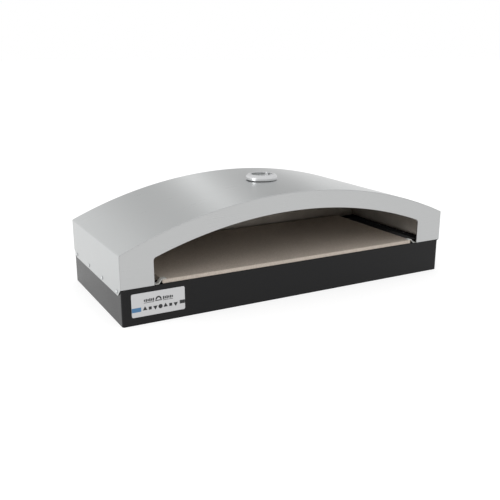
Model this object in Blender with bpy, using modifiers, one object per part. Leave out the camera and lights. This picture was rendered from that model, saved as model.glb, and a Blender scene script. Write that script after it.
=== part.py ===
"""Countertop pizza oven that stands over a burner: an open-bottomed black base box, a stainless
arched hood with a double ceiling, a cordierite stone and a dial thermometer on the roof.

Frame: the origin is at the bottom centre, +X is to the right seen from the front, the mouth
faces -Y and +Z is up. All sizes are in metres.
"""
from math import asin, atan2, cos, pi, sin, tan

import bmesh
import bpy
from mathutils import Matrix, Vector

# Overall sizes
WIDTH = 0.914                # outside of the hood's side walls
DEPTH = 0.3816               # front face to back face
BASE_HEIGHT = 0.0868
SHOULDER_HEIGHT = 0.1655     # where the hood's side wall meets the roof
ROOF_HEIGHT = 0.2632         # crown of the roof
GAP = 0.0003                 # between pieces that touch

# Hood
HOOD_SHEET = 0.0012
HOOD_BEND = 0.0035           # outer radius at the shoulders
SKIRT_OVERLAP = 0.0168       # how far the side walls reach down over the base
SKIRT_CHAMFER = 0.0200       # length of the cut corner at each end of a skirt
SKIRT_CLEARANCE = 0.0008     # between the skirt and the base's side
FASCIA_BAND = 0.0454         # height of the front above the mouth
FASCIA_POST = 0.0795         # width of the front beside the mouth
MOUTH_CORNER = 0.0080
FASCIA_FLANGE = 0.0120       # depth of the turned edges under the roof
MOUTH_FLANGE = 0.0035        # depth of the short turned edge round the mouth
ARCH_STEPS = 32              # even, so that one vertex row runs along the crown
BEND_STEPS = 3
HOLE_SIDES = 12

# Cavity liner
CEILING_GAP = 0.0320         # roof's outside to the ceiling sheet's middle
LINER_SIDE_GAP = 0.0270      # hood's side to the liner wall's middle
LINER_FOOT = 0.0170
LINER_SHEET = 0.0010
LINER_BEND = 0.0200
LINER_FRONT_GAP = 0.0030     # behind the front's sheet
LINER_BACK_GAP = 0.0216      # hood's back to the back wall's middle
STAY_X = 0.1900              # place of the two stays between the roof and the ceiling
STAY_FLANGE = 0.0160

# Base
BASE_SHEET = 0.0012
BASE_BEND = 0.0060
SILL_DEPTH = 0.0320          # front flange that the stone rests on
STONE_BEARING = 0.0190       # how far the rear sill reaches under the stone
SILL_LEG = 0.0180
LEDGE_REACH = 0.0060         # how far the side ledges reach inside the liner's walls
RAIL_WIDTH = 0.0180
RAIL_LEG = 0.0180
HANGER_INSET = 0.0900        # from the deflector's side edge to the hanger
HANGER_FLANGE = 0.0200
DEFLECTOR_DROP = 0.0280      # below the top of the base
DEFLECTOR_INSET = 0.0280     # from the stone's side edge
DEFLECTOR_MARGIN = 0.0450    # from the base's front and back walls
DEFLECTOR_LIP = 0.0100

# Stone and its clips
STONE_SIDE_GAP = 0.0195      # to the side of the mouth
STONE_REAR_GAP = 0.0200      # to the middle of the cavity's back wall
STONE_THICKNESS = 0.0096
STONE_SET_BACK = 0.0020
STONE_EDGE = 0.0012
CLIP_SHEET = 0.0010
CLIP_WIDTH = 0.0140
CLIP_SET_BACK = 0.0020
CLIP_FINGER = 0.0110         # reach over the stone's top
CLIP_SIDE_CLEARANCE = 0.0010
CLIP_POST_CLEARANCE = 0.0020 # from the foot's end to the mouth's edge
CLIP_FLAT = 0.0080           # flat of the foot, which takes the screw
CLIP_TOP_CLEARANCE = 0.0005

# Screws
SCREW_COUNT = 4              # on each side
SCREW_END_MARGIN = 0.0258    # from the hood's front and back
SCREW_DROP = 0.0088          # below the top of the base
SCREW_HEAD_RADIUS = 0.0045
SCREW_HEAD_HEIGHT = 0.0022
SCREW_RADIUS = 0.0020
SCREW_LENGTH = 0.0100
CLIP_SCREW_HEAD_RADIUS = 0.0028
CLIP_SCREW_HEAD_HEIGHT = 0.0017
CLIP_SCREW_RADIUS = 0.0015
CLIP_SCREW_LENGTH = 0.0070

# Rating plate
PLATE_WIDTH = 0.1270
PLATE_HEIGHT = 0.0550
PLATE_THICKNESS = 0.0007
PLATE_CORNER = 0.0040
PLATE_SIDE_MARGIN = 0.0235   # from the hood's side to the plate
PLATE_TOP_MARGIN = 0.0128    # below the top of the base

# Thermometer
GAUGE_SKIRT_RADIUS = 0.0410  # widest part of the bezel
GAUGE_RIM_RADIUS = 0.0300
GAUGE_GLASS_RADIUS = 0.0270
GAUGE_HEIGHT = 0.0150
GAUGE_WALL = 0.0010
GAUGE_LIP = 0.0012
GAUGE_SIDE = 0.0045          # height of the bezel's straight side
GASKET_THICKNESS = 0.0008
GASKET_RADIUS = 0.0140
LENS_THICKNESS = 0.0015
DIAL_CLEARANCE = 0.0026      # dial above the bushing's flange
POINTER_ROOM = 0.0020        # between the dial and the glass
DIAL_THICKNESS = 0.0006
DIAL_HOLE = 0.0016
POINTER_LENGTH = 0.0210
POINTER_TAIL = 0.0070
POINTER_THICKNESS = 0.0004
POINTER_HUB = 0.0024
POINTER_REST_ANGLE = 225.0   # degrees from +X, the cold end of the scale
SPINDLE_RADIUS = 0.0008
STEM_RADIUS = 0.0040
STEM_WALL = 0.0008
STEM_REACH = 0.0520          # below the crown
COIL_WIRE = 0.0004
COIL_CLEARANCE = 0.0006      # to the inside of the stem
COIL_TURNS = 7
COIL_PITCH = 0.0030
BUSHING_WALL = 0.0012
BUSHING_FLANGE = 0.0080
BUSHING_FLANGE_HEIGHT = 0.0012
BUSHING_REACH = 0.0150
WASHER_RADIUS = 0.0100
WASHER_THICKNESS = 0.0010
NUT_RADIUS = 0.0080
NUT_HEIGHT = 0.0060
NUT_WING_SPAN = 0.0130
NUT_WING_HEIGHT = 0.0080
NUT_WING_THICKNESS = 0.0024

# Derived places
FRONT = -DEPTH / 2
BACK = DEPTH / 2
SIDE = WIDTH / 2
ROOF_RISE = ROOF_HEIGHT - SHOULDER_HEIGHT
ROOF_RADIUS = (SIDE ** 2 + ROOF_RISE ** 2) / (2 * ROOF_RISE)
ARC_CENTRE_Z = ROOF_HEIGHT - ROOF_RADIUS
MOUTH_RADIUS = ROOF_RADIUS - FASCIA_BAND
MOUTH_HALF_WIDTH = SIDE - FASCIA_POST
STONE_HALF_WIDTH = MOUTH_HALF_WIDTH - STONE_SIDE_GAP
STONE_FRONT_Y = FRONT + STONE_SET_BACK
STONE_BACK_Y = BACK - LINER_BACK_GAP - STONE_REAR_GAP
SKIRT_BOTTOM = BASE_HEIGHT - SKIRT_OVERLAP
BASE_SIDE = SIDE - HOOD_SHEET - SKIRT_CLEARANCE
BASE_FRONT = FRONT + PLATE_THICKNESS + GAP
BASE_BACK = BACK - PLATE_THICKNESS - GAP
BASE_INSIDE = BASE_SIDE - BASE_SHEET - GAP
FOOT_Z = BASE_HEIGHT + GAP
SILL_BACK_Y = BASE_FRONT + BASE_SHEET + GAP + SILL_DEPTH
REAR_SILL_FRONT_Y = STONE_BACK_Y - STONE_BEARING
STONE_BOTTOM = BASE_HEIGHT + GAP
STONE_TOP = STONE_BOTTOM + STONE_THICKNESS
LINER_RADIUS = ROOF_RADIUS - CEILING_GAP
LINER_HALF_WIDTH = SIDE - LINER_SIDE_GAP
LEDGE_INNER_X = LINER_HALF_WIDTH - LEDGE_REACH
SCREW_Z = BASE_HEIGHT - SCREW_DROP
DEFLECTOR_TOP = BASE_HEIGHT - DEFLECTOR_DROP
DEFLECTOR_HALF_WIDTH = STONE_HALF_WIDTH - DEFLECTOR_INSET
HANGER_X = DEFLECTOR_HALF_WIDTH - HANGER_INSET


# Scene and materials

def clear_scene():
    """Remove every object of the scene."""
    for old in list(bpy.data.objects):
        bpy.data.objects.remove(old, do_unlink=True)


def new_collection(name):
    """A new collection in the scene."""
    collection = bpy.data.collections.new(name)
    bpy.context.scene.collection.children.link(collection)
    return collection


def new_material(name, colour, roughness, metallic):
    """A Principled material with a plain colour."""
    material = bpy.data.materials.new(name)
    material.use_nodes = True
    shader = material.node_tree.nodes["Principled BSDF"]
    shader.inputs["Base Color"].default_value = (*colour, 1.0)
    shader.inputs["Roughness"].default_value = roughness
    shader.inputs["Metallic"].default_value = metallic
    return material


clear_scene()
oven_parts = new_collection("countertop_pizza_oven")
cutters = new_collection("cutters")

stainless = new_material("brushed_stainless", (0.50, 0.51, 0.52), 0.38, 1.0)
liner_steel = new_material("liner_steel", (0.20, 0.20, 0.19), 0.50, 1.0)
black_paint = new_material("black_paint", (0.020, 0.020, 0.021), 0.40, 0.0)
bright_steel = new_material("bright_steel", (0.55, 0.56, 0.57), 0.30, 1.0)
cordierite = new_material("cordierite", (0.42, 0.36, 0.31), 0.95, 0.0)
plate_metal = new_material("plate_metal", (0.40, 0.41, 0.43), 0.45, 0.6)
chrome = new_material("chrome", (0.70, 0.70, 0.71), 0.12, 1.0)
dial_paint = new_material("dial_paint", (0.18, 0.18, 0.19), 0.55, 0.0)
glass = new_material("glass", (0.80, 0.82, 0.82), 0.05, 0.0)
pointer_paint = new_material("pointer_paint", (0.80, 0.78, 0.74), 0.45, 0.0)
rubber = new_material("gasket_rubber", (0.02, 0.02, 0.02), 0.80, 0.0)
brass = new_material("brass", (0.55, 0.42, 0.18), 0.35, 1.0)


# Building blocks

def add_object(name, mesh, material, parent=None, collection=oven_parts):
    """Put a mesh into a collection as a named object."""
    piece = bpy.data.objects.new(name, mesh)
    collection.objects.link(piece)
    if material is not None:
        mesh.materials.append(material)
    piece.parent = parent
    return piece


def add_empty(name, location):
    """An empty that carries a group of pieces."""
    empty = bpy.data.objects.new(name, None)
    empty.location = location
    oven_parts.objects.link(empty)
    return empty


def bend(before, corner, after, radius, steps=BEND_STEPS):
    """Points on the arc that rounds a corner of a flat path."""
    corner = Vector(corner)
    to_before = (Vector(before) - corner).normalized()
    to_after = (Vector(after) - corner).normalized()
    half_angle = to_before.angle(to_after) / 2
    centre = corner + (to_before + to_after).normalized() * radius / sin(half_angle)
    start = corner + to_before * radius / tan(half_angle) - centre
    end = corner + to_after * radius / tan(half_angle) - centre
    first = atan2(start.y, start.x)
    sweep = (atan2(end.y, end.x) - first + pi) % (2 * pi) - pi
    angles = [first + sweep * i / steps for i in range(steps + 1)]
    return [(centre.x + radius * cos(a), centre.y + radius * sin(a)) for a in angles]


def rounded_path(corners, radius):
    """A flat path through the corners, with each inner corner rounded."""
    path = [corners[0]]
    for before, corner, after in zip(corners, corners[1:], corners[2:]):
        path += bend(before, corner, after, radius)
    return path + [corners[-1]]


def arch_path(half_width, radius, foot_z, corner_radius, foot=0.0):
    """The arch seen from the front: up one side wall, over the arc and down the other side.

    The arc is concentric with the roof. A foot turns outwards at the bottom of each wall.
    """
    half_angle = asin(half_width / radius)
    angles = [half_angle * (2 * i / ARCH_STEPS - 1) for i in range(ARCH_STEPS + 1)]
    arc = [(radius * sin(a), ARC_CENTRE_Z + radius * cos(a)) for a in angles]
    arc[ARCH_STEPS // 2] = (0.0, ARC_CENTRE_Z + radius)
    left_foot = (-half_width, foot_z)
    right_foot = (half_width, foot_z)
    path = bend(left_foot, arc[0], arc[1], corner_radius) + arc[1:-1]
    path += bend(arc[-2], arc[-1], right_foot, corner_radius)
    if foot:
        left = bend((-half_width - foot, foot_z), left_foot, arc[0], HOOD_SHEET)
        right = bend(arc[-1], right_foot, (half_width + foot, foot_z), HOOD_SHEET)
        return [(-half_width - foot, foot_z)] + left + path + right + [(half_width + foot, foot_z)]
    return [left_foot] + path + [right_foot]


def along_y(path, y):
    """A path in X and Z, placed at one depth."""
    return [(x, y, z) for x, z in path]


def along_x(path, x):
    """A path in Y and Z, placed at one X."""
    return [(x, y, z) for y, z in path]


def along_z(path, z):
    """A path in X and Y, placed at one height."""
    return [(x, y, z) for x, y in path]


def bent_sheet(name, rows, thickness, material, parent=None, filled_end=False):
    """A sheet-metal piece: an open surface through rows of points, thickened both ways."""
    shape = bmesh.new()
    grid = [[shape.verts.new(point) for point in row] for row in rows]
    for upper, lower in zip(grid, grid[1:]):
        for i in range(len(upper) - 1):
            shape.faces.new((upper[i], upper[i + 1], lower[i + 1], lower[i]))
    if filled_end:
        shape.faces.new(reversed(grid[-1]))
    bmesh.ops.recalc_face_normals(shape, faces=shape.faces)
    mesh = bpy.data.meshes.new(name)
    shape.to_mesh(mesh)
    shape.free()
    piece = add_object(name, mesh, material, parent)
    skin = piece.modifiers.new("sheet", "SOLIDIFY")
    skin.thickness = thickness
    skin.offset = 0.0
    skin.use_even_offset = True
    return piece


def flat_plate(name, outline, thickness, material, parent=None):
    """A flat piece cut to an outline in its own XY plane, as a mesh with welded edges."""
    curve = bpy.data.curves.new(name, "CURVE")
    curve.dimensions = "2D"
    curve.fill_mode = "BOTH"
    curve.extrude = thickness / 2
    spline = curve.splines.new("POLY")
    spline.points.add(len(outline) - 1)
    for point, (x, y) in zip(spline.points, outline):
        point.co = (x, y, 0.0, 1.0)
    spline.use_cyclic_u = True
    return curve_to_mesh(name, curve, material, parent)


def curve_to_mesh(name, curve, material, parent=None):
    """The curve's evaluated shape as a mesh object whose caps are welded to its sides."""
    guide = bpy.data.objects.new(name + "_guide", curve)
    oven_parts.objects.link(guide)
    depsgraph = bpy.context.evaluated_depsgraph_get()
    mesh = bpy.data.meshes.new_from_object(guide.evaluated_get(depsgraph))
    bpy.data.objects.remove(guide, do_unlink=True)
    shape = bmesh.new()
    shape.from_mesh(mesh)
    bmesh.ops.remove_doubles(shape, verts=shape.verts, dist=0.000005)
    shape.to_mesh(mesh)
    shape.free()
    mesh.materials.clear()
    return add_object(name, mesh, material, parent)


def turned(name, profile, steps, material, parent=None, ring=False):
    """A body turned about its own Z axis; the profile's outer side runs from top to bottom."""
    mesh = bpy.data.meshes.new(name)
    edges = [(i, i + 1) for i in range(len(profile) - 1)]
    if ring:
        edges.append((len(profile) - 1, 0))
    mesh.from_pydata([(r, 0.0, z) for r, z in profile], edges, [])
    piece = add_object(name, mesh, material, parent)
    spin = piece.modifiers.new("turn", "SCREW")
    spin.axis = "Z"
    spin.steps = steps
    spin.render_steps = steps
    spin.use_merge_vertices = True
    spin.merge_threshold = 0.00001
    spin.use_smooth_shade = True
    return piece


def cylinder(name, radius, length, sides, material, parent=None, collection=oven_parts):
    """A cylinder about its own Z axis, centred on its origin."""
    shape = bmesh.new()
    bmesh.ops.create_cone(
        shape, cap_ends=True, segments=sides, radius1=radius, radius2=radius, depth=length
    )
    mesh = bpy.data.meshes.new(name)
    shape.to_mesh(mesh)
    shape.free()
    return add_object(name, mesh, material, parent, collection)


def box(name, size, material, parent=None, bevel=0.0):
    """A box centred on its origin, with rounded edges where a bevel is given."""
    shape = bmesh.new()
    bmesh.ops.create_cube(shape, size=1.0, matrix=Matrix.Diagonal((*size, 1.0)))
    mesh = bpy.data.meshes.new(name)
    shape.to_mesh(mesh)
    shape.free()
    piece = add_object(name, mesh, material, parent)
    if bevel:
        edge = piece.modifiers.new("edges", "BEVEL")
        edge.width = bevel
        edge.segments = 2
    return piece


def make_cutter(piece):
    """Show a piece as a cutter."""
    piece.hide_render = True
    piece.display_type = "WIRE"
    return piece


def combine(target, other, operation):
    """Boolean of two closed pieces."""
    step = target.modifiers.new(other.name, "BOOLEAN")
    step.object = other
    step.operation = operation
    step.solver = "EXACT"


def hole_cutter(name, centres, radius, length, along):
    """Round cutters on parallel axes, one body for each centre, in one object.

    Each is turned by half a side, so that none of its edges meets the crown's line.
    """
    shape = bmesh.new()
    turn = Vector((0.0, 0.0, 1.0)).rotation_difference(Vector(along)).to_matrix().to_4x4()
    turn = turn @ Matrix.Rotation(pi / HOLE_SIDES, 4, "Z")
    for centre in centres:
        bmesh.ops.create_cone(
            shape, cap_ends=True, segments=HOLE_SIDES, radius1=radius, radius2=radius, depth=length,
            matrix=Matrix.Translation(centre) @ turn,
        )
    mesh = bpy.data.meshes.new(name)
    shape.to_mesh(mesh)
    shape.free()
    return make_cutter(add_object(name, mesh, None, None, cutters))


# Places that repeat

screw_pitch = (DEPTH - 2 * SCREW_END_MARGIN) / (SCREW_COUNT - 1)
screw_ys = [FRONT + SCREW_END_MARGIN + screw_pitch * i for i in range(SCREW_COUNT)]
clip_centre_y = FRONT + CLIP_SET_BACK + CLIP_WIDTH / 2
clip_leg_x = STONE_HALF_WIDTH + CLIP_SIDE_CLEARANCE + CLIP_SHEET / 2
clip_foot_x = MOUTH_HALF_WIDTH - CLIP_POST_CLEARANCE
clip_screw_x = clip_foot_x - CLIP_SCREW_HEAD_RADIUS - CLIP_SHEET / 2
oven = add_empty("oven", (0.0, 0.0, 0.0))
gauge = add_empty("gauge_mount", (0.0, 0.0, ROOF_HEIGHT))

side_holes = hole_cutter(
    "side_screw_holes", [(0.0, y, SCREW_Z) for y in screw_ys], SCREW_RADIUS + GAP,
    2 * SIDE + 0.02, (1, 0, 0)
)
clip_holes = hole_cutter(
    "clip_screw_holes", [(side * clip_screw_x, clip_centre_y, BASE_HEIGHT) for side in (-1, 1)],
    CLIP_SCREW_RADIUS + GAP, 0.02, (0, 0, 1)
)
bushing_radius = STEM_RADIUS + GAP + BUSHING_WALL
coil_radius = STEM_RADIUS - STEM_WALL - COIL_CLEARANCE - COIL_WIRE
gauge_hole = hole_cutter(
    "gauge_hole", [(0.0, 0.0, ROOF_HEIGHT)], bushing_radius + GAP, 0.02, (0, 0, 1)
)
stem_hole = hole_cutter(
    "stem_hole", [(0.0, 0.0, ROOF_HEIGHT - CEILING_GAP)], STEM_RADIUS + GAP * 2, 0.01, (0, 0, 1)
)


# Hood

def hood_path(foot_z):
    """Middle of the outer sheet, seen from the front."""
    half = HOOD_SHEET / 2
    return arch_path(SIDE - half, ROOF_RADIUS - half, foot_z, HOOD_BEND - half)


def make_hood_shell():
    """Roof and both side walls in one bent sheet; the skirts' end corners are cut back."""
    rows = [
        along_y(hood_path(FOOT_Z), FRONT),
        along_y(hood_path(SKIRT_BOTTOM), FRONT + SKIRT_CHAMFER),
        along_y(hood_path(SKIRT_BOTTOM), BACK - SKIRT_CHAMFER),
        along_y(hood_path(FOOT_Z), BACK),
    ]
    shell = bent_sheet("hood_shell", rows, HOOD_SHEET, stainless, oven)
    combine(shell, side_holes, "DIFFERENCE")
    combine(shell, gauge_hole, "DIFFERENCE")


def inner_edge_path():
    """Middle of a turned edge that lies just inside the hood's sheet."""
    inset = HOOD_SHEET * 1.5 + GAP
    return arch_path(SIDE - inset, ROOF_RADIUS - inset, FOOT_Z, HOOD_BEND)


def make_front_fascia():
    """Front of the hood with the arched mouth; both edges are turned back into the hood."""
    half = HOOD_SHEET / 2
    outer = inner_edge_path()
    mouth = arch_path(MOUTH_HALF_WIDTH + half, MOUTH_RADIUS + half, FOOT_Z, MOUTH_CORNER + half)
    face_y = FRONT + half
    rows = [
        along_y(outer, face_y + FASCIA_FLANGE),
        along_y(outer, face_y),
        along_y(mouth, face_y),
        along_y(mouth, face_y + MOUTH_FLANGE),
    ]
    bent_sheet("front_fascia", rows, HOOD_SHEET, stainless, oven)


def make_rear_panel():
    """Closed back of the hood with a turned edge under the roof."""
    face_y = BACK - HOOD_SHEET / 2
    rows = [
        along_y(inner_edge_path(), face_y - FASCIA_FLANGE),
        along_y(inner_edge_path(), face_y),
    ]
    bent_sheet("rear_panel", rows, HOOD_SHEET, stainless, oven, filled_end=True)


make_hood_shell()
make_front_fascia()
make_rear_panel()


# Cavity liner and the stays that hang it from the roof

liner_front_y = FRONT + HOOD_SHEET + LINER_FRONT_GAP
stay_front_y = FRONT + HOOD_SHEET + FASCIA_FLANGE + HOOD_SHEET
liner_back_y = BACK - LINER_BACK_GAP


def liner_path(inset, foot_z, foot):
    """Middle of the liner's sheet, or of a sheet that lies inside it."""
    return arch_path(
        LINER_HALF_WIDTH - inset, LINER_RADIUS - inset, foot_z, LINER_BEND - inset, foot
    )


def make_cavity_liner():
    """Ceiling and side walls of the cavity, with feet on the side ledges."""
    path = liner_path(0.0, FOOT_Z + LINER_SHEET / 2, LINER_FOOT)
    rows = [along_y(path, liner_front_y), along_y(path, liner_back_y + FASCIA_FLANGE)]
    liner = bent_sheet("cavity_liner", rows, LINER_SHEET, liner_steel, oven)
    combine(liner, stem_hole, "DIFFERENCE")


def make_cavity_back():
    """Back wall of the cavity, with an edge turned back along the liner."""
    path = liner_path(LINER_SHEET + GAP, FOOT_Z, 0.0)
    rows = [
        along_y(path, liner_back_y + FASCIA_FLANGE - LINER_SHEET),
        along_y(path, liner_back_y),
    ]
    bent_sheet("cavity_back", rows, LINER_SHEET, liner_steel, oven, filled_end=True)


def make_ceiling_stay(name, side):
    """C-section from front to back between the roof and the ceiling, square to the arc."""
    top_radius = ROOF_RADIUS - HOOD_SHEET - GAP - LINER_SHEET / 2
    low_radius = LINER_RADIUS + LINER_SHEET + GAP
    web = asin(STAY_X / ROOF_RADIUS)
    flange = STAY_FLANGE / ROOF_RADIUS
    corners = [(top_radius, web + flange), (top_radius, web), (low_radius, web), (low_radius, web + flange)]
    points = [(side * r * sin(a), ARC_CENTRE_Z + r * cos(a)) for r, a in corners]
    path = rounded_path(points, LINER_SHEET)
    rows = [along_y(path, stay_front_y), along_y(path, liner_back_y)]
    bent_sheet(name, rows, LINER_SHEET, liner_steel, oven)


make_cavity_liner()
make_cavity_back()
make_ceiling_stay("ceiling_stay_left", -1)
make_ceiling_stay("ceiling_stay_right", 1)


# Base box

def make_base_shell():
    """Front and both sides of the base in one sheet, with rounded front corners."""
    half = BASE_SHEET / 2
    x = BASE_SIDE - half
    y = BASE_FRONT + half
    path = rounded_path([(-x, BASE_BACK), (-x, y), (x, y), (x, BASE_BACK)], BASE_BEND - half)
    rows = [along_z(path, 0.0), along_z(path, BASE_HEIGHT)]
    shell = bent_sheet("base_shell", rows, BASE_SHEET, black_paint, oven)
    combine(shell, side_holes, "DIFFERENCE")


def make_base_back():
    """Back of the base, with edges turned forward inside the side walls.

    A side screw that stands near enough to the back passes through the turned edge too.
    """
    half = BASE_SHEET / 2
    x = BASE_INSIDE - half
    y = BASE_BACK - half
    path = rounded_path([(-x, y - SILL_LEG), (-x, y), (x, y), (x, y - SILL_LEG)], BASE_SHEET)
    rows = [along_z(path, 0.0), along_z(path, BASE_HEIGHT)]
    panel = bent_sheet("base_back_panel", rows, BASE_SHEET, black_paint, oven)
    combine(panel, side_holes, "DIFFERENCE")


def make_angle(name, corners, ends, place, cut=None):
    """An angle strip: a bent leg and flange, run between two ends along one axis."""
    path = rounded_path(corners, BASE_SHEET)
    piece = bent_sheet(name, [place(path, end) for end in ends], BASE_SHEET, black_paint, oven)
    if cut is not None:
        combine(piece, cut, "DIFFERENCE")


def make_sills():
    """Front and rear flanges of the base, which carry the stone's edges."""
    half = BASE_SHEET / 2
    top = BASE_HEIGHT - half
    ends = (-(BASE_SIDE - BASE_BEND), BASE_SIDE - BASE_BEND)
    front = BASE_FRONT + BASE_SHEET + GAP + half
    corners = [(front, top - SILL_LEG), (front, top), (SILL_BACK_Y, top)]
    make_angle("front_sill", corners, ends, along_x, clip_holes)
    back = BASE_BACK - BASE_SHEET - GAP - half
    rear_end = BASE_INSIDE - BASE_SHEET - GAP - BASE_SHEET
    corners = [(back, top - SILL_LEG), (back, top), (REAR_SILL_FRONT_Y, top)]
    make_angle("rear_sill", corners, (-rear_end, rear_end), along_x)


def make_side_ledge(name, side):
    """Flange along one side of the base, under the liner's foot."""
    half = BASE_SHEET / 2
    wall = BASE_INSIDE - half
    top = BASE_HEIGHT - half
    corners = [(side * wall, top - SILL_LEG), (side * wall, top), (side * LEDGE_INNER_X, top)]
    ends = (SILL_BACK_Y + GAP, REAR_SILL_FRONT_Y - GAP)
    make_angle(name, corners, ends, along_y, side_holes)


def make_foot_rails():
    """Return flanges at the bottom of the base, the faces that it stands on."""
    half = BASE_SHEET / 2
    wall = BASE_INSIDE - half
    inner = BASE_INSIDE - RAIL_WIDTH
    rail_ends = (BASE_FRONT + BASE_BEND, BASE_BACK - BASE_SHEET - SILL_LEG - BASE_BEND)
    for name, side in (("foot_rail_left", -1), ("foot_rail_right", 1)):
        corners = [(side * wall, RAIL_LEG), (side * wall, half), (side * inner, half)]
        make_angle(name, corners, rail_ends, along_y)
    cross_ends = (-(inner - GAP), inner - GAP)
    front = BASE_FRONT + BASE_SHEET + GAP + half
    corners = [(front, RAIL_LEG), (front, half), (front + RAIL_WIDTH, half)]
    make_angle("foot_rail_front", corners, cross_ends, along_x)
    back = BASE_BACK - BASE_SHEET - GAP - half
    corners = [(back, RAIL_LEG), (back, half), (back - RAIL_WIDTH, half)]
    make_angle("foot_rail_rear", corners, cross_ends, along_x)


def make_deflector_hanger(name, side):
    """C-section from front to back, hung under both sills to carry the heat deflector."""
    half = BASE_SHEET / 2
    top = BASE_HEIGHT - BASE_SHEET - GAP - half
    bottom = DEFLECTOR_TOP + GAP + half
    flange = side * (HANGER_X + HANGER_FLANGE)
    web = side * HANGER_X
    corners = [(flange, top), (web, top), (web, bottom), (flange, bottom)]
    start = BASE_FRONT + BASE_SHEET + GAP + BASE_SHEET + GAP + BASE_SHEET
    end = BASE_BACK - BASE_SHEET - GAP - BASE_SHEET - GAP - BASE_SHEET
    make_angle(name, corners, (start, end), along_y)


def make_heat_deflector():
    """Steel sheet between the flames and the stone, with its side edges turned down."""
    top = DEFLECTOR_TOP - BASE_SHEET / 2
    x = DEFLECTOR_HALF_WIDTH
    corners = [(-x, top - DEFLECTOR_LIP), (-x, top), (x, top), (x, top - DEFLECTOR_LIP)]
    path = rounded_path(corners, BASE_SHEET * 2)
    rows = [along_y(path, BASE_FRONT + DEFLECTOR_MARGIN), along_y(path, BASE_BACK - DEFLECTOR_MARGIN)]
    bent_sheet("heat_deflector", rows, BASE_SHEET, liner_steel, oven)


make_base_shell()
make_base_back()
make_sills()
make_side_ledge("side_ledge_left", -1)
make_side_ledge("side_ledge_right", 1)
make_foot_rails()
make_deflector_hanger("deflector_hanger_left", -1)
make_deflector_hanger("deflector_hanger_right", 1)
make_heat_deflector()


# Stone and clips

def make_stone():
    """The cordierite stone, which draws out forwards over the front sill."""
    size = (2 * STONE_HALF_WIDTH, STONE_BACK_Y - STONE_FRONT_Y, STONE_THICKNESS)
    stone = box("pizza_stone", size, cordierite, oven, STONE_EDGE)
    y = (STONE_FRONT_Y + STONE_BACK_Y) / 2
    stone.location = (0.0, y, STONE_BOTTOM + STONE_THICKNESS / 2)


def make_clip(name, side):
    """Z-shaped clip: its foot is screwed to the sill and its finger lies over the stone."""
    low = BASE_HEIGHT + GAP + CLIP_SHEET / 2
    high = STONE_TOP + CLIP_TOP_CLEARANCE + CLIP_SHEET / 2
    corners = [
        (side * clip_foot_x, low),
        (side * (clip_foot_x - CLIP_FLAT), low),
        (side * clip_leg_x, high),
        (side * (clip_leg_x - CLIP_FINGER), high),
    ]
    path = rounded_path(corners, CLIP_SHEET)
    ends = (FRONT + CLIP_SET_BACK, FRONT + CLIP_SET_BACK + CLIP_WIDTH)
    clip = bent_sheet(name, [along_y(path, y) for y in ends], CLIP_SHEET, bright_steel, oven)
    combine(clip, clip_holes, "DIFFERENCE")


def make_screw(name, head_radius, head_height, radius, length, location, outward):
    """A pan-head screw whose head stands out along a direction."""
    profile = [
        (0.0, head_height),
        (head_radius * 0.55, head_height * 0.92),
        (head_radius * 0.92, head_height * 0.55),
        (head_radius, 0.0),
        (radius, 0.0),
        (radius, -length),
        (0.0, -length - radius * 0.5),
    ]
    screw = turned(name, profile, 12, bright_steel, oven)
    screw.location = location
    screw.rotation_mode = "QUATERNION"
    screw.rotation_quaternion = Vector((0.0, 0.0, 1.0)).rotation_difference(Vector(outward))


make_stone()
for side_name, side in (("left", -1), ("right", 1)):
    make_clip("stone_clip_" + side_name, side)
    seat = (side * clip_screw_x, clip_centre_y, BASE_HEIGHT + GAP + CLIP_SHEET + GAP)
    make_screw(
        "clip_screw_" + side_name, CLIP_SCREW_HEAD_RADIUS, CLIP_SCREW_HEAD_HEIGHT,
        CLIP_SCREW_RADIUS, CLIP_SCREW_LENGTH, seat, (0, 0, 1)
    )
    for number, y in enumerate(screw_ys, start=1):
        make_screw(
            "side_screw_" + side_name + "_" + str(number), SCREW_HEAD_RADIUS, SCREW_HEAD_HEIGHT,
            SCREW_RADIUS, SCREW_LENGTH, (side * (SIDE + GAP), y, SCREW_Z), (side, 0, 0)
        )


# Rating plate

def rounded_rectangle(width, height, radius):
    """Outline of a rectangle with round corners, centred on the origin."""
    x = width / 2
    y = height / 2
    corners = [(-x, -y), (x, -y), (x, y), (-x, y)]
    outline = []
    for i, corner in enumerate(corners):
        outline += bend(corners[i - 1], corner, corners[(i + 1) % 4], radius)
    return outline


def make_rating_plate():
    """Thin metal plate on the front of the base, flush with the hood's front."""
    outline = rounded_rectangle(PLATE_WIDTH, PLATE_HEIGHT, PLATE_CORNER)
    plate = flat_plate("rating_plate", outline, PLATE_THICKNESS, plate_metal, oven)
    plate.rotation_euler = (pi / 2, 0.0, 0.0)
    x = -SIDE + PLATE_SIDE_MARGIN + PLATE_WIDTH / 2
    z = BASE_HEIGHT - PLATE_TOP_MARGIN - PLATE_HEIGHT / 2
    plate.location = (x, FRONT + PLATE_THICKNESS / 2, z)


make_rating_plate()


# Thermometer, in the frame of its mount on the crown of the roof

gauge_floor = GAP + GASKET_THICKNESS + GAP
case_radius = GAUGE_GLASS_RADIUS + GAUGE_LIP
bushing_top = gauge_floor + GAUGE_WALL + GAP + BUSHING_FLANGE_HEIGHT
dial_top = bushing_top + DIAL_CLEARANCE
lens_top = dial_top + POINTER_ROOM + LENS_THICKNESS


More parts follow.
